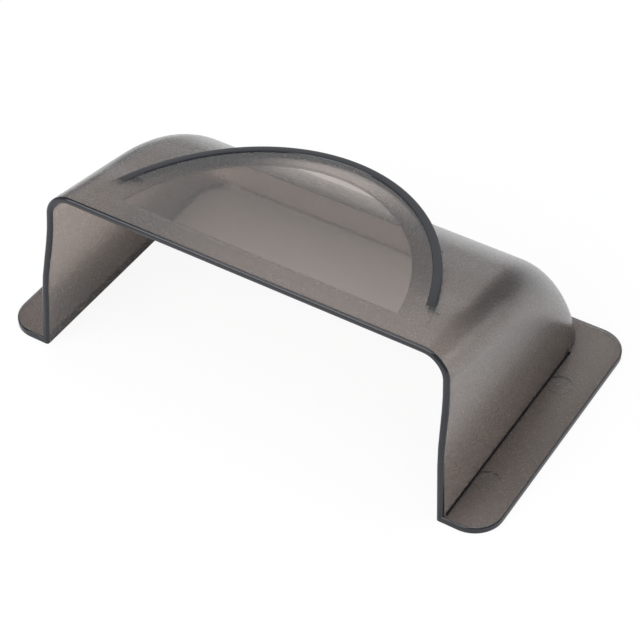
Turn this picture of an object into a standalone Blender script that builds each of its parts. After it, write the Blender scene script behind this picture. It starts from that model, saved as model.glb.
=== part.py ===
"""Roof vent cover: a hood open to the front and below, with a visor let into its roof.

Metres, +Z up. The front opening faces -Y. The origin is on the mounting surface, under the
middle of the hood.
"""

import math

import bmesh
import bpy
from mathutils import Matrix, Vector

# Overall size
WIDTH = 0.200  # over both flanges
DEPTH = 0.111  # front edge to rear edge of the flanges
HEIGHT = 0.069  # mounting surface to the top of the roof's front edge

# Hood
WALL = 0.0026
FLANGE_WIDTH = 0.0168  # flank to outer edge, at the mounting surface
FLANGE_THICKNESS = 0.0024
FLANGE_CORNER = 0.01125
FLANK_DRAFT = math.radians(3.53)  # flanks lean inwards
ROOF_SLOPE = math.radians(8.9)  # roof falls to the rear
BACK_SLOPE = math.radians(72.9)  # back wall, from horizontal
BEND_RADIUS = 0.0766  # roof into back wall
SHOULDER_FRONT = 0.0108  # roof into flank, at the front edge
SHOULDER_REAR = 0.0203  # the same at the lower end of the bend
SHOULDER_FOOT = 0.0145  # back wall into flank, at the mounting surface
SHOULDER_EASE = 0.65  # share of the way to the bend's end where it starts to ease

# Front edge, seen from the side: a slight lean with an S-shaped set-back in it
FRONT_LEAN = 0.04  # set-back for each unit of height
SETBACK = 0.0034
SETBACK_LOW = 0.0252
SETBACK_HIGH = 0.0544

# Visor: a flat plate with an arched rim, over the opening in the roof
VISOR_SLOPE = math.radians(5.0)
VISOR_THICKNESS = 0.0024
SEAM = 0.0105  # visor's front edge, behind the hood's front edge
RIM_WIDTH_SIDE = 0.0034
RIM_WIDTH_END = 0.0037
RIM_RISE = 0.0003  # rim above the plate
RIM_DEPTH = 0.0048  # rim's outer wall, below the plate's top
RIM_WALL = 0.0024
RIM_HALF_WIDTH = 0.0670  # half axis of the rim's outer arc, across
RIM_REACH = 0.0854  # half axis of the rim's outer arc, along
RIM_CENTRE = -0.0092  # that arc's centre, from the front edge
WINDOW_HALF_WIDTH = 0.0556
WINDOW_REACH = 0.0696
WINDOW_CENTRE = -0.0045

# Opening in the roof under the visor
OPENING_REACH = 0.0576  # its rear edge, from the front edge
OPENING_LAND = 0.0005  # what the bevel leaves of that edge

# Pads that stick the flanges down
PAD_RADIUS = 0.0042
PAD_THICKNESS = 0.0008
PAD_FROM_FLANK = 0.0044
PAD_FROM_FRONT = 0.0235
PAD_FROM_REAR = 0.0335

GAP = 0.0003  # between pieces that meet
OVERSHOOT = 0.02  # how far cutters run past what they cut

BASE_HALF_WIDTH = WIDTH / 2 - FLANGE_WIDTH
FRONT_Y = -DEPTH / 2
FRONT_TOP_Y = FRONT_Y + FRONT_LEAN * HEIGHT + SETBACK

SHOULDER_SEGMENTS = 9
BEND_SEGMENTS = 22
ARC_SEGMENTS = 40
SETBACK_SEGMENTS = 24
ROOF_SHARES = (0.0, 0.35, 0.6, 0.8, 0.9, 0.96)  # middle to shoulder, across the roof
ROOF_RUNS = (-OVERSHOOT, 0.0, 0.004, 0.008, SEAM, 0.014, 0.018, 0.022, 0.026, 0.033)


def clear_scene():
    for obj in list(bpy.data.objects):
        bpy.data.objects.remove(obj)


def smoothstep(low, high, value):
    t = min(max((value - low) / (high - low), 0.0), 1.0)
    return t * t * (3 - 2 * t)


def make_material(name, colour, roughness):
    material = bpy.data.materials.new(name)
    material.use_nodes = True
    shader = material.node_tree.nodes["Principled BSDF"]
    shader.inputs["Base Color"].default_value = (*colour, 1.0)
    shader.inputs["Roughness"].default_value = roughness
    shader.inputs["Metallic"].default_value = 0.0
    return material


def add_object(name, bm, material=None):
    """A bmesh made into a named object."""
    bmesh.ops.recalc_face_normals(bm, faces=bm.faces)
    mesh = bpy.data.meshes.new(name)
    bm.to_mesh(mesh)
    bm.free()
    mesh.shade_smooth()
    mesh.set_sharp_from_angle(angle=math.radians(35))
    obj = bpy.data.objects.new(name, mesh)
    bpy.context.scene.collection.objects.link(obj)
    if material:
        mesh.materials.append(material)
    return obj


def add_cutter(name, bm):
    obj = add_object(name, bm)
    obj.hide_render = True
    obj.display_type = "WIRE"
    return obj


def add_boolean(target, other, operation):
    modifier = target.modifiers.new(f"{operation.lower()}_{other.name}", "BOOLEAN")
    modifier.object = other
    modifier.operation = operation
    modifier.solver = "EXACT"


def loft(bm, loops):
    """Closed body through a row of point loops of equal length, capped at both ends."""
    rings = [[bm.verts.new(point) for point in loop] for loop in loops]
    count = len(rings[0])
    for ring, following in zip(rings, rings[1:]):
        for i in range(count):
            j = (i + 1) % count
            bm.faces.new((ring[i], ring[j], following[j], following[i]))
    bm.faces.new(rings[0])
    bm.faces.new(reversed(rings[-1]))
    bmesh.ops.remove_doubles(bm, verts=bm.verts, dist=1e-6)


def prism(bm, outline, low, high):
    """An outline in X and Y, extruded from one height to another."""
    loft(bm, [[Vector((x, y, z)) for x, y in outline] for z in (low, high)])


# Side profile of the hood: roof line, bend and back line, in Y and Z


def normal_at(angle):
    return Vector((math.sin(angle), math.cos(angle)))


def bend_centre():
    """Centre of the bend that touches both the roof line and the back line."""
    roof, back = normal_at(ROOF_SLOPE), normal_at(BACK_SLOPE)
    roof_reach = roof.dot(Vector((FRONT_TOP_Y, HEIGHT))) - BEND_RADIUS
    back_reach = back.dot(Vector((FRONT_Y + DEPTH, 0.0))) - BEND_RADIUS
    area = roof.x * back.y - roof.y * back.x
    return Vector(
        (
            (roof_reach * back.y - back_reach * roof.y) / area,
            (roof.x * back_reach - back.x * roof_reach) / area,
        )
    )


def profile_stations():
    """(point, normal, distance run from the front edge) along the side profile.

    It starts ahead of the front edge and ends below the mounting surface."""
    centre = bend_centre()
    roof, back = normal_at(ROOF_SLOPE), normal_at(BACK_SLOPE)
    along_roof = Vector((roof.y, -roof.x))
    along_back = Vector((back.y, -back.x))
    roof_end = centre + BEND_RADIUS * roof
    back_start = centre + BEND_RADIUS * back
    roof_length = (roof_end - Vector((FRONT_TOP_Y, HEIGHT))).length
    bend_length = BEND_RADIUS * (BACK_SLOPE - ROOF_SLOPE)
    back_length = (Vector((FRONT_Y + DEPTH, 0.0)) - back_start).length
    stations = []
    for run in ROOF_RUNS:
        stations.append((roof_end + (run - roof_length) * along_roof, roof, run))
    for step in range(BEND_SEGMENTS + 1):
        share = step / BEND_SEGMENTS
        normal = normal_at(ROOF_SLOPE + share * (BACK_SLOPE - ROOF_SLOPE))
        run = roof_length + share * bend_length
        stations.append((centre + BEND_RADIUS * normal, normal, run))
    for beyond in (back_length, back_length + OVERSHOOT):
        run = roof_length + bend_length + beyond
        stations.append((back_start + beyond * along_back, back, run))
    return stations, roof_length + bend_length, roof_length + bend_length + back_length


def shoulder_radius(run, bend_end, foot):
    """Grows evenly along the roof and the bend, then eases to its value at the foot."""
    grown = SHOULDER_FRONT + (SHOULDER_REAR - SHOULDER_FRONT) * max(run, 0.0) / bend_end
    eased = smoothstep(SHOULDER_EASE * bend_end, foot, run)
    return grown + eased * (SHOULDER_FOOT - grown)


def visor_height(y):
    """Height of the visor's top plane."""
    return HEIGHT - math.tan(VISOR_SLOPE) * (y - FRONT_TOP_Y)


def front_lift(x, y, z):
    """Brings the roof in front of the visor up to the visor's plane, and fades out beside it."""
    beside = 1 - smoothstep(RIM_HALF_WIDTH - 0.005, RIM_HALF_WIDTH + 0.008, abs(x))
    seam_y = FRONT_TOP_Y + SEAM
    behind = 1 - smoothstep(seam_y + 0.001, seam_y + 0.014, y)
    return max(visor_height(y) - z, 0.0) * beside * behind


def hood_block(inset):
    """The hood as a solid block, with its outer skin moved inwards by inset."""
    stations, bend_end, foot = profile_stations()
    loops = []
    for point, normal, run in stations:
        radius = shoulder_radius(run, bend_end, foot) - inset
        skin = point - inset * normal
        centre_height = skin.y - radius * normal.y
        flank = BASE_HALF_WIDTH - inset / math.cos(FLANK_DRAFT)
        side = flank - math.tan(FLANK_DRAFT) * centre_height
        half = [(share * (side - radius), 0.0) for share in ROOF_SHARES]
        for step in range(SHOULDER_SEGMENTS + 1):
            angle = math.pi / 2 * step / SHOULDER_SEGMENTS
            across = side - radius * (1 - math.sin(angle))
            half.append((across, radius * (1 - math.cos(angle))))
        loop = []
        for across, depth in half:
            place = skin - depth * normal
            lift = front_lift(across, place.x, place.y + inset) if depth < radius else 0.0
            loop.append(Vector((across, place.x, place.y + lift)))
        inner = skin - (BEND_RADIUS - inset) * normal
        root = flank - math.tan(FLANK_DRAFT) * inner.y
        loop.append(Vector((root, inner.x, inner.y)))
        mirrored = [Vector((-p.x, p.y, p.z)) for p in reversed(loop[1:])]
        loops.append(mirrored + loop)
    bm = bmesh.new()
    loft(bm, loops)
    return bm


def front_edge(z):
    """Where the front edge is at a height."""
    return FRONT_Y + FRONT_LEAN * z + SETBACK * smoothstep(SETBACK_LOW, SETBACK_HIGH, z)


def front_cutter():
    """What lies ahead of the S-shaped front edge."""
    heights = [-OVERSHOOT]
    for step in range(SETBACK_SEGMENTS + 1):
        heights.append(SETBACK_LOW + (SETBACK_HIGH - SETBACK_LOW) * step / SETBACK_SEGMENTS)
    heights.append(HEIGHT + OVERSHOOT)
    outline = [(front_edge(z), z) for z in heights]
    ahead = FRONT_Y - 2 * OVERSHOOT
    outline += [(ahead, heights[-1]), (ahead, heights[0])]
    bm = bmesh.new()
    loft(bm, [[Vector((x, y, z)) for y, z in outline] for x in (-WIDTH, WIDTH)])
    return add_cutter("front_cutter", bm)


def flange_plate(name, side):
    """One flange with rounded outer corners, reaching in under the hood's rounded foot."""
    inner = BASE_HALF_WIDTH - SHOULDER_FOOT
    outer = WIDTH / 2
    outline = [(side * inner, FRONT_Y)]
    for corner_y, start in ((FRONT_Y + FLANGE_CORNER, -90), (-FRONT_Y - FLANGE_CORNER, 0)):
        for step in range(9):
            angle = math.radians(start + 90 * step / 8)
            x = outer - FLANGE_CORNER + FLANGE_CORNER * math.cos(angle)
            outline.append((side * x, corner_y + FLANGE_CORNER * math.sin(angle)))
    outline.append((side * inner, -FRONT_Y))
    bm = bmesh.new()
    prism(bm, outline, -OVERSHOOT / 2, FLANGE_THICKNESS)
    return add_cutter(name, bm)


def ground_cutter():
    bm = bmesh.new()
    size = Matrix.Diagonal((2 * WIDTH, 2 * DEPTH, 0.1, 1.0))
    bmesh.ops.create_cube(bm, size=1.0, matrix=Matrix.Translation((0, 0, -0.05)) @ size)
    return add_cutter("ground_cutter", bm)


# Visor pieces, drawn in the visor's own plane: X across, Y from the front edge, Z off its top


def place_in_visor_plane(obj):
    obj.location = (0.0, FRONT_TOP_Y, HEIGHT)
    obj.rotation_euler = (-VISOR_SLOPE, 0.0, 0.0)


def arch(half_width, reach, centre, start, segments=ARC_SEGMENTS):
    """An elliptical arch from its right foot at Y = start, over its crown, to its left foot."""
    foot = math.asin((start - centre) / reach)
    points = []
    for step in range(segments + 1):
        angle = foot + (math.pi - 2 * foot) * step / segments
        y = start if step in (0, segments) else centre + reach * math.sin(angle)
        points.append((half_width * math.cos(angle), y))
    return points


def opening_cutter():
    """Cuts the roof opening: the rim's outline, ended by a straight rear edge."""
    half_width = RIM_HALF_WIDTH + GAP
    reach = RIM_REACH + GAP
    foot = math.asin((SEAM - RIM_CENTRE) / reach)
    rear = math.asin((OPENING_REACH - RIM_CENTRE) / reach)
    side = []
    for step in range(15):
        angle = foot + (rear - foot) * step / 14
        side.append((half_width * math.cos(angle), RIM_CENTRE + reach * math.sin(angle)))
    outline = side + [(-x, y) for x, y in reversed(side)]
    bm = bmesh.new()
    prism(bm, outline, -OVERSHOOT, OVERSHOOT)
    cutter = add_cutter("opening_cutter", bm)
    place_in_visor_plane(cutter)
    return cutter, side[-1][0]


def bevel_cutter(half_width):
    """Slopes the opening's rear edge away underneath, leaving a narrow land on top."""
    centre = bend_centre()
    y = FRONT_TOP_Y + OPENING_REACH * math.cos(VISOR_SLOPE)
    skin = centre.y + math.sqrt(BEND_RADIUS**2 - (y - centre.x) ** 2)
    top = skin - OPENING_LAND
    low = top - OVERSHOOT
    section = ((y - WALL, top + WALL), (y + top - low, low), (y - WALL, low))
    bm = bmesh.new()
    loft(bm, [[Vector((x, sy, sz)) for sy, sz in section] for x in (-half_width, half_width)])
    return add_cutter("bevel_cutter", bm)


def pad_places():
    """Name and centre of each pad, on the mounting surface."""
    x = BASE_HALF_WIDTH + PAD_FROM_FLANK
    rows = (("front", FRONT_Y + PAD_FROM_FRONT), ("rear", -FRONT_Y - PAD_FROM_REAR))
    for side_name, side in (("left", -1), ("right", 1)):
        for row_name, y in rows:
            yield f"{row_name}_{side_name}", Vector((side * x, y, 0.0))


def disc(radius, low, high):
    bm = bmesh.new()
    middle = Matrix.Translation((0.0, 0.0, (low + high) / 2))
    bmesh.ops.create_cone(
        bm,
        cap_ends=True,
        segments=32,
        radius1=radius,
        radius2=radius,
        depth=high - low,
        matrix=middle,
    )
    return bm


def build_hood(material):
    hood = add_object("hood_shell", hood_block(0.0), material)
    add_boolean(hood, front_cutter(), "DIFFERENCE")
    for name, side in (("flange_left", -1), ("flange_right", 1)):
        add_boolean(hood, flange_plate(name, side), "UNION")
    add_boolean(hood, add_cutter("core_cutter", hood_block(WALL)), "DIFFERENCE")
    opening, rear_half_width = opening_cutter()
    add_boolean(hood, opening, "DIFFERENCE")
    add_boolean(hood, bevel_cutter(rear_half_width), "DIFFERENCE")
    for name, place in pad_places():
        recess = disc(PAD_RADIUS + GAP, -OVERSHOOT / 4, PAD_THICKNESS + GAP)
        cutter = add_cutter(f"recess_{name}", recess)
        cutter.location = place
        add_boolean(hood, cutter, "DIFFERENCE")
    add_boolean(hood, ground_cutter(), "DIFFERENCE")
    return hood


def build_visor(material):
    """The visor plate: a flat arch with a raised rim that also runs down as a drip edge."""
    start = SEAM + GAP
    aperture = arch(WINDOW_HALF_WIDTH + GAP, WINDOW_REACH + GAP, WINDOW_CENTRE, start)
    outer = arch(RIM_HALF_WIDTH, RIM_REACH, RIM_CENTRE, start)
    rim = arch(RIM_HALF_WIDTH - RIM_WIDTH_SIDE, RIM_REACH - RIM_WIDTH_END, RIM_CENTRE, start)
    drip = arch(RIM_HALF_WIDTH - RIM_WALL, RIM_REACH - RIM_WALL, RIM_CENTRE, start)
    loops = []
    for a, r, o, d in zip(aperture, rim, outer, drip):
        section = (
            (a, 0.0),
            (r, 0.0),
            (r, RIM_RISE),
            (o, RIM_RISE),
            (o, -RIM_DEPTH),
            (d, -RIM_DEPTH),
            (d, -VISOR_THICKNESS),
            (a, -VISOR_THICKNESS),
        )
        loops.append([Vector((x, y, z)) for (x, y), z in section])
    bm = bmesh.new()
    loft(bm, loops)
    visor = add_object("visor_plate", bm, material)
    place_in_visor_plane(visor)
    return visor


def build_window(material):
    outline = arch(WINDOW_HALF_WIDTH, WINDOW_REACH, WINDOW_CENTRE, SEAM + GAP)
    bm = bmesh.new()
    prism(bm, outline, -VISOR_THICKNESS, 0.0)
    window = add_object("window_pane", bm, material)
    place_in_visor_plane(window)
    return window


def build_pads(material):
    for name, place in pad_places():
        pad = add_object(f"adhesive_pad_{name}", disc(PAD_RADIUS, 0.0, PAD_THICKNESS), material)
        pad.location = place


def main():
    clear_scene()
    smoke = make_material("smoked_plastic_grained", (0.165, 0.150, 0.140), 0.45)
    clear_smoke = make_material("smoked_plastic_polished", (0.200, 0.180, 0.170), 0.06)
    acrylic = make_material("adhesive_acrylic", (0.180, 0.160, 0.145), 0.35)
    build_hood(smoke)
    build_visor(smoke)
    build_window(clear_smoke)
    build_pads(acrylic)


main()
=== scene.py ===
import math

import bmesh
import bpy
from bpy.props import FloatProperty, FloatVectorProperty, IntProperty, PointerProperty
from mathutils import Matrix, Vector


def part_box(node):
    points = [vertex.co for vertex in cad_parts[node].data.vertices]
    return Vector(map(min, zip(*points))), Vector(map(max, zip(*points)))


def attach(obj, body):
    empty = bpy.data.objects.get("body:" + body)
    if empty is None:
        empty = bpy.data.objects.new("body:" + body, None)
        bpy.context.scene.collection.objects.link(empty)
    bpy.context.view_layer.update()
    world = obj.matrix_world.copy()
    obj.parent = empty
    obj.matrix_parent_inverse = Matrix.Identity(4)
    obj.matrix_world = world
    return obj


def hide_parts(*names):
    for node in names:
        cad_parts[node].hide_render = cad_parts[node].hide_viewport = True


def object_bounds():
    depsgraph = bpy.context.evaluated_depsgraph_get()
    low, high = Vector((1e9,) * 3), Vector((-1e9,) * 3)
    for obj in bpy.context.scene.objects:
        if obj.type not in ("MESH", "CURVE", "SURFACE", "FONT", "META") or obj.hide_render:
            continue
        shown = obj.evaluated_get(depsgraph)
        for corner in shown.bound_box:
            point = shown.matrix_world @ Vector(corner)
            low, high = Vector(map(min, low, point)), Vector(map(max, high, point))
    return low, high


bl_info = {
    "name": "Roof Vent Cover",
    "version": (1, 0, 0),
    "blender": (4, 5, 0),
    "location": "View3D > Sidebar > Vent Cover",
    "description": "Builds the smoked vent cover, its visor and window, and a plain studio",
    "category": "Object",
}

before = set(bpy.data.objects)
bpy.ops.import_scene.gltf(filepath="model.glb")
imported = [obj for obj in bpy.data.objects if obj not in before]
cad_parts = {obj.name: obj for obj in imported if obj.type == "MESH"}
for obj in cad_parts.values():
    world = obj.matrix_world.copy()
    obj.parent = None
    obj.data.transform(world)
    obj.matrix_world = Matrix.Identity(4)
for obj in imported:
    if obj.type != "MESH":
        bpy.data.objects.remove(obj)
CAD_LOW, CAD_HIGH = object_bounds()
PAD_NODES = sorted(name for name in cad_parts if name.startswith("adhesive_pad"))
HAIRLINE = 0.00003  # between pieces that meet
JOIN = 0.001  # how far the visor runs into the roof in front of it
SINK = 0.00001  # keeps the visor's top off the roof's own surface while they are joined
OVERSHOOT = 0.02  # how far cutters run past what they cut
PAD_GAP = 0.0003  # between a pad and its pocket
CHAMFER = 0.0002  # on the lower edge of the visor's rim
RIM_START, RIM_FULL = 0.006, 0.020  # behind the seam: where the rim starts, and is full
RIM_LEAST = 0.02  # what is left of the rim at its feet
RIM_SLOPE = ((0.0, 0.0), (0.00008, 0.3), (0.0002, 0.8), (0.0004, 1.0))  # inwards, and up
LIFT_BAND = (0.005, 0.008)  # inside and outside the rim's ends, where the roof comes down
GROUND = ((-0.3, -0.3, -0.1), (0.3, 0.3, 0.0))  # corners of what is cut off under the cover
LEAST_FACES = 1000  # fewer than this, and a cut has taken the hood away


# Sizes and colours that a user would change


def length(name, description, default, low=0.0, high=0.5):
    return FloatProperty(
        name=name,
        description=description,
        default=default,
        min=low,
        max=high,
        precision=5,
        subtype="DISTANCE",
        unit="LENGTH",
    )


def angle(name, description, degrees):
    return FloatProperty(
        name=name,
        description=description,
        default=math.radians(degrees),
        min=0.0,
        max=math.pi / 2,
        subtype="ANGLE",
        unit="ROTATION",
    )


def factor(name, description, default, high=1.0):
    return FloatProperty(
        name=name, description=description, default=default, min=0.0, max=high, subtype="FACTOR"
    )


def colour(name, description, default):
    return FloatVectorProperty(
        name=name,
        description=description,
        default=default,
        size=3,
        min=0.0,
        max=1.0,
        subtype="COLOR",
    )


class HoodSizes(bpy.types.PropertyGroup):
    """Sizes of the moulded hood"""

    wall: length("Wall", "Thickness of the moulded wall", 0.0026)
    flange_width: length("Flange width", "Flank to outer edge, on the surface", 0.0168)
    flange_thickness: length("Flange thickness", "Thickness of both flanges", 0.0024)
    flange_corner: length("Flange corner", "Radius of the flanges' outer corners", 0.01125)
    flank_draft: angle("Flank draft", "How far the flanks lean inwards", 3.53)
    roof_slope: angle("Roof slope", "Fall of the roof to the rear", 8.9)
    back_slope: angle("Back slope", "Angle of the back wall from level", 72.9)
    bend_radius: length("Bend radius", "Radius from the roof into the back wall", 0.0766)
    shoulder_front: length("Front shoulder", "Roof into flank, at the front edge", 0.0108)
    shoulder_rear: length("Rear shoulder", "Roof into flank, low on the bend", 0.0203)
    shoulder_foot: length("Foot shoulder", "Back wall into flank, on the surface", 0.0145)
    shoulder_ease: factor("Shoulder ease", "Where the shoulder starts to ease", 0.65)
    front_lean: factor("Front lean", "Set-back of the front edge for its height", 0.04)
    setback: length("Set-back", "Depth of the S in the front edge", 0.0034)
    setback_low: length("Set-back start", "Height where the S starts", 0.0252)
    setback_high: length("Set-back end", "Height where the S ends", 0.0544)
    lip_radius: length("Lip radius", "Rounding of the front edge", 0.0010)
    flange_edge: length("Flange edge", "Rounding of the flanges' top edge", 0.0006)
    crease: length("Crease", "Width of the groove along the hood's foot", 0.0006)


class VisorSizes(bpy.types.PropertyGroup):
    """Sizes of the visor plate, its rim and its window"""

    slope: angle("Slope", "Fall of the visor to the rear", 5.0)
    thickness: length("Thickness", "Thickness of the plate and the window", 0.0024)
    seam: length("Seam", "Front of the visor, behind the hood's front edge", 0.0105)
    rim_side: length("Rim width, side", "Width of the rim at its ends", 0.0034)
    rim_end: length("Rim width, crown", "Width of the rim at its crown", 0.0037)
    rim_rise: length("Rim rise", "Rim above the plate", 0.0003)
    rim_depth: length("Rim depth", "Outer wall of the rim, below the plate's top", 0.0048)
    rim_wall: length("Rim wall", "Thickness of that wall", 0.0024)
    rim_round: length("Rim rounding", "Rounding of the rim's outer edges", 0.0006)
    rim_half_width: length("Rim half width", "Half axis of the rim's arc, across", 0.0670)
    rim_reach: length("Rim reach", "Half axis of the rim's arc, along", 0.0854)
    rim_centre: length("Rim centre", "Centre of that arc, from the front edge", -0.0092, -0.1)
    rim_shade: factor("Rim shade", "How dark the rim is, against the cut edges", 0.95)
    window_half_width: length("Window half width", "Half axis across", 0.0556)
    window_reach: length("Window reach", "Half axis along", 0.0696)
    window_centre: length("Window centre", "Centre, from the front edge", -0.0045, -0.1)
    window_round: length("Window rounding", "Rounding of the window's edges", 0.0002)
    opening_reach: length("Opening reach", "Rear edge of the opening in the roof", 0.0576)
    opening_land: length("Opening land", "What the bevel leaves of that edge", 0.0005)
    steps: IntProperty(
        name="Arc steps", description="Steps round each arc", default=128, min=16, max=512
    )


class FinishSizes(bpy.types.PropertyGroup):
    """Colours and finishes of the plastics"""

    hood_colour: colour("Hood", "Skin of the smoked plastic", (0.92, 0.91, 0.90))
    window_colour: colour("Window", "Skin of the polished plastic", (0.94, 0.93, 0.92))
    smoke: colour("Smoke", "Tint that the plastic takes on with depth", (0.32, 0.18, 0.09))
    smoke_density: FloatProperty(
        name="Smoke density",
        description="Light that each metre of plastic takes out",
        default=385.0,
        min=0.0,
        max=5000.0,
    )
    pad_colour: colour("Pads", "Acrylic adhesive", (0.96, 0.95, 0.94))
    window_smoke: factor("Window smoke", "Smoke in the window, against the hood", 0.66)
    clarity: factor("Clarity", "Share of light that passes the grained skin", 0.96)
    window_clarity: factor("Window clarity", "The same for the window", 0.97)
    hood_roughness: factor("Hood roughness", "Roughness of the grained skin", 0.26)
    window_roughness: factor("Window roughness", "Roughness of the polished faces", 0.05)
    grain_size: length("Grain size", "Pitch of the moulded grain", 0.00045, 0.00005, 0.01)
    grain_depth: length("Grain depth", "Height of the moulded grain", 0.00005, 0.0, 0.001)
    # Painted shade: the grain's hollows are darkened in colour, for the shading of its relief.
    grain_painted_shade: factor("Grain shade", "How much darker the grain's hollows are", 0.08)
    # Painted shade: darkens the colour of a band over each shoulder, for the darker surroundings
    # that it reflects.
    painted_shoulder_shade: factor("Shoulder shade", "How much darker the thicker shoulder is", 0.58)
    # Also painted on the groove along the foot, where it stands for shade.
    edge_colour: colour("Edges", "Cut edges and the rim", (0.012, 0.013, 0.018))
    pad_alpha: factor("Pad haze", "How much the clear pads show", 0.15)
    coat: factor("Coat", "Gloss over the grain", 0.35)
    joint_line: factor("Joint line", "How much the joint round the window shows", 0.25)
    edge_roughness: factor("Edge roughness", "Roughness of the cut edges", 0.10)


class StudioSizes(bpy.types.PropertyGroup):
    """Floor, light and camera"""

    floor_size: length("Floor size", "Side of the floor", 6.0, 0.5, 20.0)
    floor_colour: colour("Floor", "Matt floor", (0.86, 0.86, 0.86))
    floor_wash: factor("Floor wash", "How far the open floor is washed out to white", 0.9)
    sky_colour: colour("Sky colour", "Tint of the light from all round", (0.93, 0.96, 1.0))
    sky: factor("Sky", "Light from all round", 0.40, 4.0)
    back_panel: factor("Back panel", "Brightness behind, on the left", 0.55, 10.0)
    side_panel: factor("Side panel", "Brightness behind, on the right", 1.35, 10.0)
    top_panel: factor("Top panel", "Brightness overhead", 1.85, 10.0)
    front_panel: factor("Front panel", "Brightness in front, on the left", 3.9, 10.0)
    azimuth: angle("Azimuth", "Camera to the right of the front", 31.61)
    elevation: angle("Elevation", "Camera above the horizon", 43.13)
    distance: length("Distance", "Camera from the point it looks at", 0.7303, 0.1, 5.0)
    look_at: FloatVectorProperty(
        name="Look at",
        description="Point the camera looks at, from the middle of the cover's foot",
        default=(0.0079, -0.01095, 0.02013),
        subtype="TRANSLATION",
        unit="LENGTH",
    )
    lens: FloatProperty(
        name="Lens", description="Focal length of the camera, in mm", default=116.2, min=10
    )


# Shape of the hood


def smoothstep(low, high, value):
    """0 up to low, 1 from high on, and an even curve between them."""
    t = min(max((value - low) / (high - low), 0.0), 1.0)
    return t * t * (3 - 2 * t)


def unit(slope):
    """Outward normal of a surface that falls to the rear at that slope."""
    return Vector((math.sin(slope), math.cos(slope)))


class HoodForm:
    """The hood's skin as points found from a place along it and a place across it."""

    def __init__(self, hood, visor):
        self.hood, self.visor = hood, visor
        self.front_y, self.height = CAD_LOW.y, CAD_HIGH.z
        self.half_base = (CAD_HIGH.x - CAD_LOW.x) / 2 - hood.flange_width
        self.top_y = self.front_y + hood.front_lean * self.height + hood.setback
        self.roof, self.back = unit(hood.roof_slope), unit(hood.back_slope)
        start = Vector((self.top_y, self.height))
        foot = Vector((CAD_HIGH.y, 0.0))
        radius = hood.bend_radius
        roof_reach = self.roof.dot(start) - radius
        back_reach = self.back.dot(foot) - radius
        area = self.roof.x * self.back.y - self.roof.y * self.back.x
        self.centre = Vector(
            (
                (roof_reach * self.back.y - back_reach * self.roof.y) / area,
                (self.roof.x * back_reach - self.back.x * roof_reach) / area,
            )
        )
        self.start = start
        self.roof_length = (self.centre + radius * self.roof - start).length
        self.bend_end = self.roof_length + radius * (hood.back_slope - hood.roof_slope)
        self.to_visor = visor_place(self).inverted()
        self.foot_run = self.bend_end + (foot - self.centre - radius * self.back).length

    def profile(self, run):
        """Point and normal of the side profile, that far from the front edge."""
        if run <= self.roof_length:
            return self.start + run * Vector((self.roof.y, -self.roof.x)), self.roof
        radius = self.hood.bend_radius
        if run <= self.bend_end:
            normal = unit(self.hood.roof_slope + (run - self.roof_length) / radius)
            return self.centre + radius * normal, normal
        along = Vector((self.back.y, -self.back.x))
        return self.centre + radius * self.back + (run - self.bend_end) * along, self.back

    def shoulder(self, run):
        """Radius between roof and flank, that far from the front edge."""
        hood = self.hood
        share = max(run, 0.0) / self.bend_end
        grown = hood.shoulder_front + (hood.shoulder_rear - hood.shoulder_front) * share
        eased = smoothstep(hood.shoulder_ease * self.bend_end, self.foot_run, run)
        return grown + eased * (hood.shoulder_foot - grown)

    def visor_height(self, y):
        return self.height - math.tan(self.visor.slope) * (y - self.top_y)

    def lift(self, x, y, z):
        """Brings the roof in front of the visor up to the visor's plane."""
        half, seam_y = self.visor.rim_half_width, self.top_y + self.visor.seam
        beside = 1 - smoothstep(half - LIFT_BAND[0], half + LIFT_BAND[1], abs(x))
        behind = 1 - smoothstep(seam_y + RIM_START, seam_y + RIM_FULL, y)
        return max(self.visor_height(y) - z, 0.0) * beside * behind

    def front_edge(self, z):
        """Y of the front edge at a height."""
        hood = self.hood
        s_bend = hood.setback * smoothstep(hood.setback_low, hood.setback_high, z)
        return self.front_y + hood.front_lean * z + s_bend

    def skin(self, column, run, inset):
        """Point on the skin moved inwards by inset. A column is (zone, share, side)."""
        zone, share, side = column
        hood = self.hood
        point, normal = self.profile(run)
        radius = self.shoulder(run) - inset
        skin = point - inset * normal
        centre_height = skin.y - radius * normal.y
        flank = self.half_base - inset / math.cos(hood.flank_draft)
        end_x = flank - math.tan(hood.flank_draft) * centre_height
        if zone == "flank":
            root = point - hood.bend_radius * normal
            root_x = flank - math.tan(hood.flank_draft) * root.y
            top = Vector((end_x, skin.x - radius * normal.x, centre_height))
            place = top.lerp(Vector((root_x, root.x, root.y)), share)
            return Vector((side * place.x, place.y, place.z))
        if zone == "roof":
            across, depth = share * (end_x - radius), 0.0
        else:
            turn = share * math.pi / 2
            across = end_x - radius * (1 - math.sin(turn))
            depth = radius * (1 - math.cos(turn))
        place = skin - depth * normal
        lifted = self.lift(across, place.x, place.y + inset) if share < 1 else 0.0
        return Vector((side * across, place.x, place.y + lifted))

    def front_run(self, column, inset):
        """Where a column of the skin meets the front edge."""
        low, high = -OVERSHOOT, 2 * OVERSHOOT
        for _ in range(40):
            middle = (low + high) / 2
            place = self.skin(column, middle, inset)
            if place.y < self.front_edge(place.z):
                low = middle
            else:
                high = middle
        return (low + high) / 2


def hood_columns():
    """Columns across the hood, from the left root over the roof to the right root."""
    half = [("roof", share) for share in (0.0, 0.12, 0.24, 0.36, 0.48, 0.58, 0.66, 0.73)]
    half += [("roof", share) for share in (0.79, 0.84, 0.88, 0.92, 0.96)]
    half += [("shoulder", step / 16) for step in range(17)]
    half += [("flank", share) for share in (0.04, 0.1, 0.18, 0.28, 0.4, 0.52, 0.64, 0.76)]
    half += [("flank", share) for share in (0.86, 0.94, 1.0)]
    left = [(zone, share, -1) for zone, share in reversed(half[1:])]
    return left + [(zone, share, 1) for zone, share in half]


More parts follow.
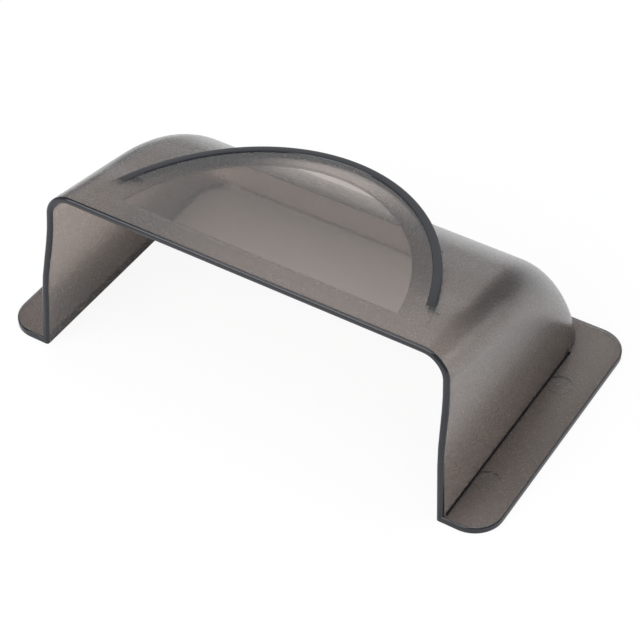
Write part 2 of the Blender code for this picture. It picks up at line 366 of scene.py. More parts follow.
def loft(bm, loops):
    """Closed body through a row of point loops of equal length, capped at both ends."""
    rings = [[bm.verts.new(point) for point in loop] for loop in loops]
    count = len(rings[0])
    for ring, following in zip(rings, rings[1:]):
        for i in range(count):
            j = (i + 1) % count
            bm.faces.new((ring[i], ring[j], following[j], following[i]))
    bm.faces.new(rings[0])
    bm.faces.new(reversed(rings[-1]))
    bmesh.ops.recalc_face_normals(bm, faces=bm.faces)


def rounded_corner(corner, before, after, radius, steps=5):
    """Quarter turn at a corner, from the side of one neighbour to the side of the other."""
    toward, away = (before - corner).normalized(), (after - corner).normalized()
    points = []
    for step in range(steps + 1):
        turn = math.pi / 2 * step / steps
        ease = radius * (1 - math.sin(turn)) * toward + radius * (1 - math.cos(turn)) * away
        points.append(corner + ease)
    return points


def shell_loop(form, column, stations=96):
    """Outline of the wall along one column: outer skin, rounded lip, inner skin."""
    hood = form.hood
    end = form.foot_run + OVERSHOOT
    sides = []
    for inset in (0.0, hood.wall):
        first = form.front_run(column, inset)
        edge = form.skin(column, first, inset)
        near = form.skin(column, first + hood.lip_radius, inset)
        runs = []
        for step in range(1, stations + 1):
            share = step / stations
            share = 0.35 * share + 0.65 * share**1.15  # closer together at the front
            runs.append(first + hood.lip_radius + share * (end - first - hood.lip_radius))
        sides.append((edge, near, [form.skin(column, run, inset) for run in runs]))
    (outer_edge, outer_near, outer), (inner_edge, inner_near, inner) = sides
    lip = rounded_corner(outer_edge, outer_near, inner_edge, hood.lip_radius)
    lip += rounded_corner(inner_edge, outer_edge, inner_near, hood.lip_radius)
    return list(reversed(outer)) + lip + inner


def new_object(name, bm, finish=None):
    mesh = bpy.data.meshes.new(name)
    bm.to_mesh(mesh)
    bm.free()
    obj = bpy.data.objects.new(name, mesh)
    bpy.context.scene.collection.objects.link(obj)
    if finish:
        mesh.materials.append(finish)
    return obj


def combine(target, other, operation):
    """Runs one Boolean on target, then removes the other object."""
    modifier = target.modifiers.new(operation, "BOOLEAN")
    modifier.object = other
    modifier.operation = operation
    modifier.solver = "EXACT"
    settle(target)
    bpy.data.objects.remove(other)


def settle(obj):
    """Turns an object's modifiers into its plain mesh."""
    graph = bpy.context.evaluated_depsgraph_get()
    mesh = bpy.data.meshes.new_from_object(obj.evaluated_get(graph))
    mesh.name = obj.name
    obj.modifiers.clear()
    obj.data = mesh


def solid_block(form, inset):
    """The hood as a solid block, its skin moved inwards by inset, which runs on past its ends."""
    columns = hood_columns()
    loops = []
    for step in range(61):
        run = -OVERSHOOT + (form.foot_run + 2 * OVERSHOOT) * step / 60
        loops.append([form.skin(column, run, inset) for column in columns])
    bm = bmesh.new()
    loft(bm, loops)
    return new_object("inside", bm)


def flange(form, side):
    """A flange plate with rounded corners and a rounded top edge."""
    hood = form.hood
    edge = hood.flange_edge
    levels = [(0.0, -OVERSHOOT / 2), (0.0, hood.flange_thickness - edge)]
    for step in range(1, 6):
        turn = math.pi / 2 * step / 5
        rise = hood.flange_thickness - edge * (1 - math.sin(turn))
        levels.append((edge * (1 - math.cos(turn)), rise))
    loops = []
    for inset, z in levels:
        radius = hood.flange_corner - inset
        outer = CAD_HIGH.x - inset
        inner = form.half_base - hood.shoulder_foot
        front, rear = CAD_LOW.y + inset, CAD_HIGH.y - inset
        loop = [Vector((side * inner, front, z))]
        for corner_y, first in ((front + radius, -90), (rear - radius, 0)):
            for step in range(17):
                turn = math.radians(first + 90 * step / 16)
                x = outer - radius + radius * math.cos(turn)
                loop.append(Vector((side * x, corner_y + radius * math.sin(turn), z)))
        loop.append(Vector((side * inner, rear, z)))
        loops.append(loop)
    bm = bmesh.new()
    loft(bm, loops)
    plate = new_object("flange", bm)
    combine(plate, solid_block(form, hood.wall / 2), "DIFFERENCE")
    return plate


def box(name, low, high):
    """A box between two opposite corners."""
    bm = bmesh.new()
    size = Vector(high) - Vector(low)
    middle = (Vector(high) + Vector(low)) / 2
    matrix = Matrix.Translation(middle) @ Matrix.Diagonal((*size, 1.0))
    bmesh.ops.create_cube(bm, size=1.0, matrix=matrix)
    return new_object(name, bm)


def visor_place(form):
    """The visor's own plane in the frame: X across, Y from the front edge, Z off its top."""
    turned = Matrix.Rotation(-form.visor.slope, 4, "X")
    return Matrix.Translation((0.0, form.top_y, form.height)) @ turned


def arc_points(half_width, reach, centre, start, steps):
    """An elliptical arch from its right foot at Y = start, over its crown, to its left foot."""
    foot = math.asin((start - centre) / reach)
    points = []
    for step in range(steps + 1):
        turn = foot + (math.pi - 2 * foot) * step / steps
        points.append((half_width * math.cos(turn), centre + reach * math.sin(turn)))
    return points


def opening_cutters(form, visor):
    """What is cut from the roof under the visor, and from its rear edge underneath."""
    half_width = visor.rim_half_width - visor.rim_wall / 2
    reach = visor.rim_reach - visor.rim_wall / 2
    first = math.asin((visor.seam - visor.rim_centre) / reach)
    last = math.asin((visor.opening_reach - visor.rim_centre) / reach)
    side = []
    for step in range(33):
        turn = first + (last - first) * step / 32
        side.append((half_width * math.cos(turn), visor.rim_centre + reach * math.sin(turn)))
    outline = side + [(-x, y) for x, y in reversed(side)]
    bm = bmesh.new()
    loft(bm, [[Vector((x, y, z)) for x, y in outline] for z in (-OVERSHOOT, OVERSHOOT)])
    bm.transform(visor_place(form))
    opening = new_object("opening", bm)
    y = form.top_y + visor.opening_reach * math.cos(visor.slope)
    across = math.sqrt(form.hood.bend_radius**2 - (y - form.centre.x) ** 2)
    top = form.centre.y + across - visor.opening_land
    low, wall = top - OVERSHOOT, form.hood.wall
    section = ((y - wall, top + wall), (y + top - low, low), (y - wall, low))
    edge = side[-1][0]
    bm = bmesh.new()
    loft(bm, [[Vector((x, sy, sz)) for sy, sz in section] for x in (-edge, edge)])
    return opening, new_object("bevel", bm)


def visor_body(form, visor):
    """The visor plate with its raised rim and the drip edge below it, both low at their feet."""
    arches = []
    for half_width, reach, centre, z in visor_section(visor):
        points = arc_points(half_width, reach, centre, visor.seam - JOIN, visor.steps)
        arch = []
        for x, y in points:
            grown = smoothstep(visor.seam + RIM_START, visor.seam + RIM_FULL, y)
            share = RIM_LEAST + (1 - RIM_LEAST) * grown
            body = min(max(z, -visor.thickness), 0.0)
            arch.append(Vector((x, y, body + (z - body) * share - SINK)))
        arches.append(arch)
    bm = bmesh.new()
    loft(bm, [list(loop) for loop in zip(*arches)])
    bm.transform(visor_place(form))
    return new_object("visor", bm)


def visor_section(visor):
    """Section of the visor from the window outwards, as (half width, reach, centre, height)."""
    centre = visor.rim_centre

    def rim(inset, z):
        return (visor.rim_half_width - inset, visor.rim_reach - inset, centre, z)

    half_width, reach = visor.window_half_width + HAIRLINE, visor.window_reach + HAIRLINE
    window = (half_width, reach, visor.window_centre)
    side, end = visor.rim_half_width - visor.rim_side, visor.rim_reach - visor.rim_end
    rise, low = visor.rim_rise, -visor.rim_depth
    section = [(*window, 0.0)]
    section += [(side + ease, end + ease, centre, rise * share) for ease, share in RIM_SLOPE]
    radius = visor.rim_round
    for step in range(6):
        turn = math.pi / 2 * step / 5
        section.append(rim(radius * (1 - math.sin(turn)), rise - radius * (1 - math.cos(turn))))
    for step in range(6):
        turn = math.pi / 2 * step / 5
        section.append(rim(radius * (1 - math.cos(turn)), low + radius * (1 - math.sin(turn))))
    section.append(rim(visor.rim_wall - CHAMFER, low))
    section.append(rim(visor.rim_wall, low + CHAMFER))
    section.append(rim(visor.rim_wall, -visor.thickness))
    section.append((*window, -visor.thickness))
    return section


def crease_cutters(form):
    """A fine groove in each flange's top, along the foot of the flank. Its faces are painted dark
    as shade.
    """
    hood = form.hood
    front, rear = CAD_LOW.y + hood.lip_radius * 2, CAD_HIGH.y - hood.shoulder_foot * 1.2
    low, high = hood.flange_thickness - hood.crease * 1.6, hood.flange_thickness + SINK * 3
    near, far = form.half_base - HAIRLINE * 5, form.half_base + hood.crease
    for side in (-1, 1):
        left, right = sorted((side * near, side * far))
        yield box("crease", (left, front, low), (right, rear, high))


def soften(mesh, degrees=32):
    """Smooth shading, but for edges that turn by more than those degrees."""
    mesh.shade_smooth()
    mesh.set_sharp_from_angle(angle=math.radians(degrees))


def tidy_normals(obj):
    """Turns every face outwards."""
    bm = bmesh.new()
    bm.from_mesh(obj.data)
    bmesh.ops.recalc_face_normals(bm, faces=bm.faces)
    bm.to_mesh(obj.data)
    bm.free()


def pad_cutter(low, high):
    """A drum that cuts the pocket over one pad."""
    centre = (low + high) / 2
    bm = bmesh.new()
    radius = (high.x - low.x) / 2 + PAD_GAP
    depth = high.z - low.z + PAD_GAP
    bmesh.ops.create_cone(
        bm,
        cap_ends=True,
        segments=64,
        radius1=radius,
        radius2=radius,
        depth=2 * depth,
        matrix=Matrix.Translation((centre.x, centre.y, 0.0)),
    )
    return new_object("recess", bm)


# What the finishes read from the meshes


NEAR = 0.0002  # a face this near to a line lies on it
ROUND_NEAR = 0.01  # the same for an ellipse, as a share of it
LEVEL, STEEP = 0.97, 0.5  # upright part of a normal: over the first is level, under the last steep
FORWARD = -0.9  # Y of a normal that faces the front
REAR_END = 0.02  # how far the foot of the back wall may reach in
POCKET_SHADE, OPENING_SHADE = 0.25, 0.7  # edges that are less dark than the cut ones
RIM_BAND, RIM_TOP = (0.999, 1.002), 0.001  # shares of its inner and outer ellipse, and height
RIM_DARK = 0.014  # behind the seam, where the rim is at its darkest
# Where the painted shade lies over each shoulder, by its normal, height and run:
SHOULDER_LEAN = (0.10, 0.45, 0.60, 0.97)  # sideways part of a normal: from, full, full, until
SHOULDER_RISE = (0.15, 0.45)  # upright part of a normal, from nothing to full
SHOULDER_HEIGHT = (0.012, 0.03)  # height, from nothing to full
SHOULDER_RUN = (0.002, 0.040)  # distance behind the roof's front, from nothing to full


def in_recess(place):
    """Whether a point lies in the pocket round one of the pads."""
    for name in PAD_NODES:
        low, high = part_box(name)
        centre = (low + high) / 2
        reach = (high.x - low.x) / 2 + PAD_GAP + NEAR
        if math.hypot(place.x - centre.x, place.y - centre.y) < reach:
            return True
    return False


def edge_share(form, centre, normal):
    """How much of a dark edge a face is: 1 on cut edges and in the groove at the foot, where it is
    painted shade, less on the visor's rim.
    """
    hood, visor = form.hood, form.visor
    if centre.z < SINK:
        return 0.0
    if centre.y < form.front_edge(centre.z) + hood.lip_radius * 0.9:
        return 1.0
    outside = abs(centre.x) > form.half_base - hood.wall / 2 or centre.y > CAD_HIGH.y - REAR_END
    if centre.z < hood.flange_thickness + SINK and outside:
        if in_recess(centre):
            return POCKET_SHADE if abs(normal.z) < STEEP else 0.0
        # Painted shade: the groove's faces at the foot are made dark, for the shade in that crease.
        groove = form.half_base + hood.crease * 2
        rounded = abs(normal.z) < LEVEL and abs(centre.x) > groove
        painted_groove_shade = hood.flange_thickness / 2 < centre.z < hood.flange_thickness - SINK * 3
        return 1.0 if rounded or (abs(centre.x) < groove and painted_groove_shade) else 0.0
    flat = form.to_visor @ centre
    if joint_share(form, flat, normal):
        return 1.0
    if abs(flat.y - visor.opening_reach) < NEAR and normal.y < FORWARD:
        return OPENING_SHADE
    return rim_share(visor, flat)


def rim_share(visor, flat):
    """How dark the rim is at a point in the visor's own plane: it fades at its feet."""
    along = flat.y - visor.rim_centre
    side, end = visor.rim_half_width - visor.rim_side, visor.rim_reach - visor.rim_end
    inner = math.hypot(flat.x / side, along / end)
    outer = math.hypot(flat.x / visor.rim_half_width, along / visor.rim_reach)
    if inner <= RIM_BAND[0] or outer >= RIM_BAND[1]:
        return 0.0
    if not -visor.rim_depth - SINK < flat.z < RIM_TOP:
        return 0.0
    return visor.rim_shade * smoothstep(visor.seam + RIM_START, visor.seam + RIM_DARK, flat.y)


def joint_share(form, flat, normal):
    """1 where the hood meets the window, for a point in the visor's own plane."""
    visor = form.visor
    if abs(normal.z) > STEEP or not -form.hood.wall * 1.2 < flat.z < -SINK * 3:
        return 0.0
    across = flat.x / visor.window_half_width
    round_it = math.hypot(across, (flat.y - visor.window_centre) / visor.window_reach)
    ahead = abs(flat.y - visor.seam) < NEAR and abs(across) < 1.0
    return 1.0 if ahead or abs(round_it - 1) < ROUND_NEAR else 0.0


def painted_shade_share(form, place, normal):
    """How far a point lies in the band of painted shade over each shoulder: it grows to the rear.
    """
    lean, rise = abs(normal.x), abs(normal.z)
    around = smoothstep(*SHOULDER_LEAN[:2], lean) * (1 - smoothstep(*SHOULDER_LEAN[2:], lean))
    rear = smoothstep(*SHOULDER_RUN, place.y - form.top_y)
    above = smoothstep(*SHOULDER_RISE, rise) * smoothstep(*SHOULDER_HEIGHT, place.z)
    return around * rear * above


def store(mesh, name, domain, values):
    """Keeps one number for each face or point, for the finishes to read."""
    marks = mesh.attributes.new(name, "FLOAT", domain)
    marks.data.foreach_set("value", [float(value) for value in values])


def mark_edges(mesh, form):
    """Stores what the finish reads: dark edges, the window's joint and the painted shade over each
    shoulder.
    """
    edges = [edge_share(form, face.center, face.normal) for face in mesh.polygons]
    meets = [joint_share(form, form.to_visor @ face.center, face.normal) for face in mesh.polygons]
    painted_shade_marks = [painted_shade_share(form, vertex.co, vertex.normal) for vertex in mesh.vertices]
    store(mesh, "dark_edge", "FACE", edges)
    store(mesh, "joint", "FACE", meets)
    # painted shade over each shoulder, kept as the point attribute that the grained finish reads
    store(mesh, "shoulder", "POINT", painted_shade_marks)


# Materials


ACRYLIC_IOR = 1.49
EDGE_CLARITY = 0.1  # share of light that passes a dark edge
SATIN_RANGE = 0.02  # how far the grain moves the roughness, each way


class Finish:
    """A material's node tree with short calls for the nodes that it needs."""

    def __init__(self, name):
        self.material = bpy.data.materials.new(name)
        self.material.use_nodes = True
        self.tree = self.material.node_tree
        self.shader = self.tree.nodes["Principled BSDF"]
        self.place = self.node("ShaderNodeTexCoord").outputs["Object"]

    def node(self, kind, **settings):
        node = self.tree.nodes.new(kind)
        for key, value in settings.items():
            setattr(node, key, value)
        return node

    def link(self, output, socket):
        self.tree.links.new(output, socket)

    def attribute(self, name):
        return self.node("ShaderNodeAttribute", attribute_name=name).outputs["Fac"]

    def noise(self, size, detail=2.0, roughness=0.5):
        """A soft random pattern, with patches about that size."""
        noise = self.node("ShaderNodeTexNoise")
        self.link(self.place, noise.inputs["Vector"])
        noise.inputs["Scale"].default_value = 1 / size
        noise.inputs["Detail"].default_value = detail
        noise.inputs["Roughness"].default_value = roughness
        return noise.outputs["Fac"]

    def spread(self, value, low, high, first=0.3, last=0.7):
        """A pattern whose values from first to last now run from low to high."""
        node = self.node("ShaderNodeMapRange")
        self.link(value, node.inputs["Value"])
        ends = {"From Min": first, "From Max": last, "To Min": low, "To Max": high}
        for key, number in ends.items():
            node.inputs[key].default_value = number
        return node.outputs["Result"]

    def bump(self, value, depth, strength=1.0):
        node = self.node("ShaderNodeBump")
        self.link(value, node.inputs["Height"])
        node.inputs["Distance"].default_value = depth
        node.inputs["Strength"].default_value = strength
        return node.outputs["Normal"]

    def smoke(self, finish, share=1.0):
        """The tint inside the plastic, which darkens long ways through it."""
        body = self.node("ShaderNodeVolumeAbsorption")
        body.inputs["Color"].default_value = (*finish.smoke, 1.0)
        body.inputs["Density"].default_value = finish.smoke_density * share
        out = self.tree.nodes["Material Output"]
        self.link(body.outputs["Volume"], out.inputs["Volume"])

    def joint(self, finish):
        """Lets light straight through where two pieces meet, but for a faint line."""
        alpha = self.mix("FLOAT", self.attribute("joint"), 1.0, finish.joint_line)
        self.link(alpha, self.shader.inputs["Alpha"])

    def mix(self, kind, share, *ends):
        """From one end to the other as share goes from 0 to 1: FLOAT numbers, or RGBA colours."""
        node = self.node("ShaderNodeMix", data_type=kind)
        self.link(share, node.inputs["Factor"])
        for end, socket in zip(ends, (node.inputs["A"], node.inputs["B"])):
            if isinstance(end, bpy.types.NodeSocket):
                self.link(end, socket)
            else:
                socket.default_value = end if kind == "FLOAT" else (*end, 1.0)
        return node.outputs["Result"]


def scaled(rgb, by):
    """A colour made darker or lighter, up to white."""
    return tuple(min(channel * by, 1.0) for channel in rgb)


def grained_plastic(finish):
    """Smoked plastic with a fine spark-eroded grain, and smooth dark cut edges."""
    made = Finish("smoke_grained")
    shader = made.shader.inputs
    edge, painted_shade = made.attribute("dark_edge"), made.attribute("shoulder")
    grain = made.noise(finish.grain_size, detail=2.5, roughness=0.55)
    # painted shade in the grain's hollows, for the shading of its relief
    shaded_hollow = scaled(finish.hood_colour, 1 - finish.grain_painted_shade)
    peaks = made.spread(grain, 0.0, 1.0, first=0.35, last=0.65)
    skin = made.mix("RGBA", peaks, shaded_hollow, finish.hood_colour)
    # Painted shade: the band over each shoulder is darkened, for the darker surroundings that it
    # reflects.
    skin = made.mix("RGBA", painted_shade, skin, scaled(finish.hood_colour, 1 - finish.painted_shoulder_shade))
    dark = made.spread(edge, 0.0, 1.0, first=0.0, last=0.4)
    made.link(made.mix("RGBA", dark, skin, finish.edge_colour), shader["Base Color"])
    rough = finish.hood_roughness
    satin = made.spread(grain, rough - SATIN_RANGE, rough + SATIN_RANGE)
    made.link(made.mix("FLOAT", edge, satin, finish.edge_roughness), shader["Roughness"])
    made.link(made.bump(grain, finish.grain_depth * 0.1), shader["Normal"])
    made.link(made.bump(grain, finish.grain_depth), shader["Coat Normal"])
    made.link(made.mix("FLOAT", edge, finish.coat, 0.0), shader["Coat Weight"])
    shader["Coat Roughness"].default_value = 0.2
    shut = made.spread(edge, 0.0, 1.0, first=0.5, last=0.95)
    made.link(made.mix("FLOAT", shut, finish.clarity, EDGE_CLARITY), shader["Transmission Weight"])
    shader["IOR"].default_value = ACRYLIC_IOR
    made.joint(finish)
    made.smoke(finish)
    return made.material


def polished_plastic(finish):
    """Clear smoked plastic, polished on both faces, with faint handling marks."""
    made = Finish("smoke_polished")
    shader = made.shader.inputs
    edge = made.attribute("dark_edge")
    clouds = made.spread(made.noise(size=0.03), 0.0, 1.0)
    skin = made.mix("RGBA", clouds, scaled(finish.window_colour, 0.97), finish.window_colour)
    made.link(made.mix("RGBA", edge, skin, finish.edge_colour), shader["Base Color"])
    rough, smears = finish.window_roughness, made.noise(size=0.006, detail=6.0)
    made.link(made.spread(smears, rough * 0.85, rough * 1.3), shader["Roughness"])
    ripple = made.noise(size=0.012, detail=1.0)
    made.link(made.bump(ripple, depth=0.00002, strength=0.5), shader["Normal"])
    clear = made.mix("FLOAT", edge, finish.window_clarity, EDGE_CLARITY)
    made.link(clear, shader["Transmission Weight"])
    shader["IOR"].default_value = ACRYLIC_IOR
    made.joint(finish)
    made.smoke(finish, finish.window_smoke)
    return made.material


def pad_adhesive(finish):
    """Clear acrylic adhesive with small bubbles."""
    made = Finish("pad_acrylic")
    shader = made.shader.inputs
    bubbles = made.noise(size=0.0009, detail=1.0)
    haze = made.spread(bubbles, 0.0, 1.0, first=0.45, last=0.6)
    skin = made.mix("RGBA", haze, scaled(finish.pad_colour, 0.85), finish.pad_colour)
    made.link(skin, shader["Base Color"])
    made.link(made.spread(bubbles, 0.12, 0.22), shader["Roughness"])
    made.link(made.bump(bubbles, depth=0.000001), shader["Normal"])
    shader["Transmission Weight"].default_value = 1.0
    shader["IOR"].default_value = ACRYLIC_IOR
    shader["Alpha"].default_value = finish.pad_alpha
    made.smoke(finish)
    return made.material


def floor_finish(studio):
    """Matt white, and washed out to plain white for what the camera sees directly."""
    made = Finish("matt_floor")
    shader = made.shader
    shader.inputs["Base Color"].default_value = (*studio.floor_colour, 1.0)
    shader.inputs["Roughness"].default_value = 0.9
    shader.inputs["Specular IOR Level"].default_value = 0.0
    wash = made.node("ShaderNodeEmission")
    seen = made.node("ShaderNodeLightPath").outputs["Is Camera Ray"]
    mix = made.node("ShaderNodeMixShader")
    made.link(made.mix("FLOAT", seen, 0.0, studio.floor_wash), mix.inputs[0])
    made.link(shader.outputs[0], mix.inputs[1])
    made.link(wash.outputs[0], mix.inputs[2])
    made.link(mix.outputs[0], made.tree.nodes["Material Output"].inputs["Surface"])
    return made.material


MAKERS = {
    "smoke_grained": grained_plastic,
    "smoke_polished": polished_plastic,
    "pad_acrylic": pad_adhesive,
}


def material(name):
    """A finish by name, made the first time that it is asked for."""
    return bpy.data.materials.get(name) or MAKERS[name](bpy.context.scene.cover_finish)


# Geometry Nodes


class NodeShape:
    """A Geometry Nodes tree with named inputs, and short calls for its nodes."""

    def __init__(self, name, inputs):
        self.tree = bpy.data.node_groups.new(name, "GeometryNodeTree")
        for way in ("INPUT", "OUTPUT"):
            self.tree.interface.new_socket(
                "Geometry", in_out=way, socket_type="NodeSocketGeometry"
            )
        self.sockets = {}
        for label, kind in inputs:
            socket = self.tree.interface.new_socket(label, in_out="INPUT", socket_type=kind)
            self.sockets[label] = socket.identifier
        self.given = self.tree.nodes.new("NodeGroupInput").outputs
        self.result = self.tree.nodes.new("NodeGroupOutput").inputs["Geometry"]

    def node(self, kind, inputs=(), **settings):
        node = self.tree.nodes.new(kind)
        for key, value in settings.items():
            setattr(node, key, value)
        for key, value in dict(inputs).items():
            if isinstance(value, bpy.types.NodeSocket):
                self.tree.links.new(value, node.inputs[key])
            else:
                node.inputs[key].default_value = value
        return node

    def math(self, operation, first, second=0.0):
        return self.node("ShaderNodeMath", {0: first, 1: second}, operation=operation).outputs[0]

    def finish(self, geometry):
        """Ends the tree: instances made real, and the material set."""
        real = self.node("GeometryNodeRealizeInstances", {"Geometry": geometry})
        inputs = {"Geometry": real.outputs[0], "Material": self.given["Material"]}
        painted = self.node("GeometryNodeSetMaterial", inputs)
        self.tree.links.new(painted.outputs[0], self.result)

    def make(self, name, values):
        """A plain mesh object from the tree, with its inputs set by identifier."""
        obj = bpy.data.objects.new(name, bpy.data.meshes.new(name))
        bpy.context.scene.collection.objects.link(obj)
        modifier = obj.modifiers.new("shape", "NODES")
        modifier.node_group = self.tree
        for label, value in values.items():
            modifier[self.sockets[label]] = value
        obj.update_tag()
        settle(obj)
        return obj


WELD = 1e-7  # joins the points of the two faces to those of the walls


def window_tree():
    """An arch, filled and extruded downwards."""
    shape = NodeShape(
        "window_outline",
        [
            ("Half Width", "NodeSocketFloat"),
            ("Reach", "NodeSocketFloat"),
            ("Centre", "NodeSocketFloat"),
            ("Foot", "NodeSocketFloat"),
            ("Thickness", "NodeSocketFloat"),
            ("Steps", "NodeSocketInt"),
            ("Material", "NodeSocketMaterial"),
        ],
    )
    given = shape.given
    above = shape.math("SUBTRACT", given["Foot"], given["Centre"])
    first = shape.math("ARCSINE", shape.math("DIVIDE", above, given["Reach"]))
    sweep = shape.math("SUBTRACT", math.pi, shape.math("MULTIPLY", first, 2.0))
    arc = shape.node(
        "GeometryNodeCurveArc",
        {"Resolution": given["Steps"], "Radius": 1.0, "Start Angle": first, "Sweep Angle": sweep},
    )
    size = shape.node("ShaderNodeCombineXYZ", {0: given["Half Width"], 1: given["Reach"], 2: 1.0})
    place = shape.node("ShaderNodeCombineXYZ", {0: 0.0, 1: given["Centre"], 2: 0.0})
    arch = shape.node(
        "GeometryNodeTransform",
        {"Geometry": arc.outputs[0], "Translation": place.outputs[0], "Scale": size.outputs[0]},
    )
    closed = shape.node(
        "GeometryNodeSetSplineCyclic", {"Geometry": arch.outputs[0], "Cyclic": True}
    )
    face = shape.node("GeometryNodeFillCurve", {"Curve": closed.outputs[0]})
    face.mode = "NGONS"
    down = shape.math("MULTIPLY", given["Thickness"], -1.0)
    offset = shape.node("ShaderNodeCombineXYZ", {0: 0.0, 1: 0.0, 2: down})
    body = shape.node(
        "GeometryNodeExtrudeMesh",
        {
            "Mesh": face.outputs[0],
            "Offset": offset.outputs[0],
            "Offset Scale": 1.0,
            "Individual": False,
        },
    )
    top = shape.node("GeometryNodeFlipFaces", {"Mesh": face.outputs[0]})
    whole = shape.node("GeometryNodeJoinGeometry")
    shape.tree.links.new(body.outputs[0], whole.inputs[0])
    shape.tree.links.new(top.outputs[0], whole.inputs[0])
    merged = shape.node(
        "GeometryNodeMergeByDistance", {"Geometry": whole.outputs[0], "Distance": WELD}
    )
    shape.finish(merged.outputs[0])
    return shape


# Floor and light


PANEL_DISTANCE = 1.3
PANELS = {  # azimuth and elevation in degrees, then width and height
    "back": (-25, 25, 1.0, 0.95),
    "top": (0, 89, 1.4, 1.2),
    "front": (-163, 38, 1.2, 0.9),
    "side": (50, 14, 0.6, 0.5),
}
FLOOR_GAP = 0.0002  # from the cover's foot down to the floor


def light_panel(name, azimuth, elevation, width, height, radiance):
    """A soft rectangular light that faces the cover. Azimuth 0 is straight behind it."""
    light = bpy.data.lights.new(name, "AREA")
    light.shape = "RECTANGLE"
    light.size, light.size_y = width, height
    light.energy = radiance * math.pi * width * height
    turn, rise = math.radians(azimuth), math.radians(elevation)
    out = Vector((math.sin(turn) * math.cos(rise), math.cos(turn) * math.cos(rise), math.sin(rise)))
    panel = bpy.data.objects.new(name, light)
    bpy.context.scene.collection.objects.link(panel)
    panel.location = out * PANEL_DISTANCE
    panel.rotation_euler = out.to_track_quat("Z", "Y").to_euler()
    return panel


# Operators, one for each piece


class BuildHood(bpy.types.Operator):
    """Build the moulded hood: flanges, the opening in its roof and the visor over it"""

    bl_idname = "vent_cover.build_hood"
    bl_label = "Hood and visor"

    def execute(self, context):
        visor = context.scene.cover_visor
        form = HoodForm(context.scene.cover_hood, visor)
        bm = bmesh.new()
        loft(bm, [shell_loop(form, column) for column in hood_columns()])
        hood = new_object("hood_moulding", bm)
        for cutter in opening_cutters(form, visor):
            combine(hood, cutter, "DIFFERENCE")
        combine(hood, visor_body(form, visor), "UNION")
        for side in (-1, 1):
            combine(hood, flange(form, side), "UNION")
        for cutter in crease_cutters(form):
            combine(hood, cutter, "DIFFERENCE")
        for name in PAD_NODES:
            combine(hood, pad_cutter(*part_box(name)), "DIFFERENCE")
        combine(hood, box("ground", *GROUND), "DIFFERENCE")
        if len(hood.data.polygons) < LEAST_FACES:
            raise RuntimeError("the hood lost its surface")
        hood.data.materials.clear()
        hood.data.materials.append(material("smoke_grained"))
        mark_edges(hood.data, form)
        soften(hood.data)
        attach(hood, "root")
        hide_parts("hood_shell", "visor_plate")
        return {"FINISHED"}


class BuildWindow(bpy.types.Operator):
    """Build the clear window in the visor"""

    bl_idname = "vent_cover.build_window"
    bl_label = "Window"

    def execute(self, context):
        visor = context.scene.cover_visor
        form = HoodForm(context.scene.cover_hood, visor)
        values = {
            "Half Width": visor.window_half_width,
            "Reach": visor.window_reach,
            "Centre": visor.window_centre,
            "Foot": visor.seam + HAIRLINE,
            "Thickness": visor.thickness,
            "Steps": visor.steps + 1,
            "Material": material("smoke_polished"),
        }
        window = window_tree().make("window_pane_clear", values)
        tidy_normals(window)
        sides = [abs(face.normal.z) < STEEP for face in window.data.polygons]
        store(window.data, "dark_edge", "FACE", sides)
        store(window.data, "joint", "FACE", sides)
        window.data.transform(visor_place(form))
        soften(window.data)
        if len(window.data.polygons) < visor.steps:
            raise RuntimeError("the window has no edge")
        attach(window, "root")
        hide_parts("window_pane")
        return {"FINISHED"}


class FinishPads(bpy.types.Operator):
    """Give the adhesive pads under the flanges their finish"""

    bl_idname = "vent_cover.finish_pads"
    bl_label = "Pads"

    def execute(self, context):
        for name in PAD_NODES:
            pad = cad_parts[name]
            pad.data.materials.clear()
            pad.data.materials.append(material("pad_acrylic"))
        return {"FINISHED"}


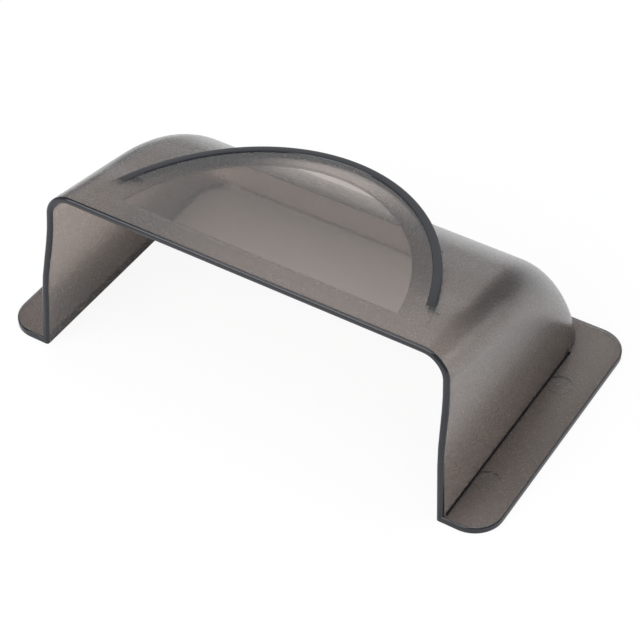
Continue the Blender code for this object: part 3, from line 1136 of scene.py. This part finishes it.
class BuildStudio(bpy.types.Operator):
    """Build the plain floor, the soft light and the camera"""

    bl_idname = "vent_cover.build_studio"
    bl_label = "Studio"

    def execute(self, context):
        studio = context.scene.cover_studio
        half = studio.floor_size / 2
        bm = bmesh.new()
        bmesh.ops.create_grid(bm, x_segments=1, y_segments=1, size=half)
        floor = new_object("floor", bm, floor_finish(studio))
        floor.location.z = CAD_LOW.z - FLOOR_GAP
        world = bpy.data.worlds.new("studio")
        world.use_nodes = True
        sky = world.node_tree.nodes["Background"]
        sky.inputs["Color"].default_value = (*studio.sky_colour, 1.0)
        sky.inputs["Strength"].default_value = studio.sky
        context.scene.world = world
        context.scene.view_settings.view_transform = "Standard"
        for side, place in PANELS.items():
            light_panel(f"panel_{side}", *place, getattr(studio, f"{side}_panel"))
        camera = bpy.data.objects.new("camera", bpy.data.cameras.new("camera"))
        context.scene.collection.objects.link(camera)
        across, up = math.cos(studio.elevation), math.sin(studio.elevation)
        turn = studio.azimuth
        back = Vector((math.sin(turn) * across, -math.cos(turn) * across, up))
        foot = Vector(((CAD_LOW.x + CAD_HIGH.x) / 2, (CAD_LOW.y + CAD_HIGH.y) / 2, CAD_LOW.z))
        camera.location = foot + Vector(studio.look_at) + back * studio.distance
        camera.rotation_euler = (-back).to_track_quat("-Z", "Y").to_euler()
        camera.data.lens = studio.lens
        camera.data.sensor_width = 36.0
        camera.data.clip_start = 0.01
        context.scene.camera = camera
        return {"FINISHED"}


PIECES = (BuildHood, BuildWindow, FinishPads)


class VentCoverPanel(bpy.types.Panel):
    """Buttons for the cover's pieces and its studio"""

    bl_idname = "VIEW3D_PT_vent_cover"
    bl_label = "Vent Cover"
    bl_space_type = "VIEW_3D"
    bl_region_type = "UI"
    bl_category = "Vent Cover"

    def draw(self, context):
        for piece in (*PIECES, BuildStudio):
            self.layout.operator(piece.bl_idname)
        for label in SETTINGS:
            group = getattr(context.scene, label)
            column = self.layout.box().column()
            column.label(text=group.bl_rna.description)
            for name in group.bl_rna.properties.keys():
                if name not in ("rna_type", "name"):
                    column.prop(group, name)


SETTINGS = {
    "cover_hood": HoodSizes,
    "cover_visor": VisorSizes,
    "cover_finish": FinishSizes,
    "cover_studio": StudioSizes,
}
CLASSES = (*SETTINGS.values(), *PIECES, BuildStudio, VentCoverPanel)


def register():
    for made in CLASSES:
        bpy.utils.register_class(made)
    for label, group in SETTINGS.items():
        setattr(bpy.types.Scene, label, PointerProperty(type=group))


def unregister():
    for label in SETTINGS:
        delattr(bpy.types.Scene, label)
    for made in reversed(CLASSES):
        bpy.utils.unregister_class(made)


def main():
    register()
    bpy.ops.vent_cover.build_hood()
    bpy.ops.vent_cover.build_window()
    bpy.ops.vent_cover.finish_pads()
    bpy.ops.vent_cover.build_studio()


if __name__ == "__main__":
    main()
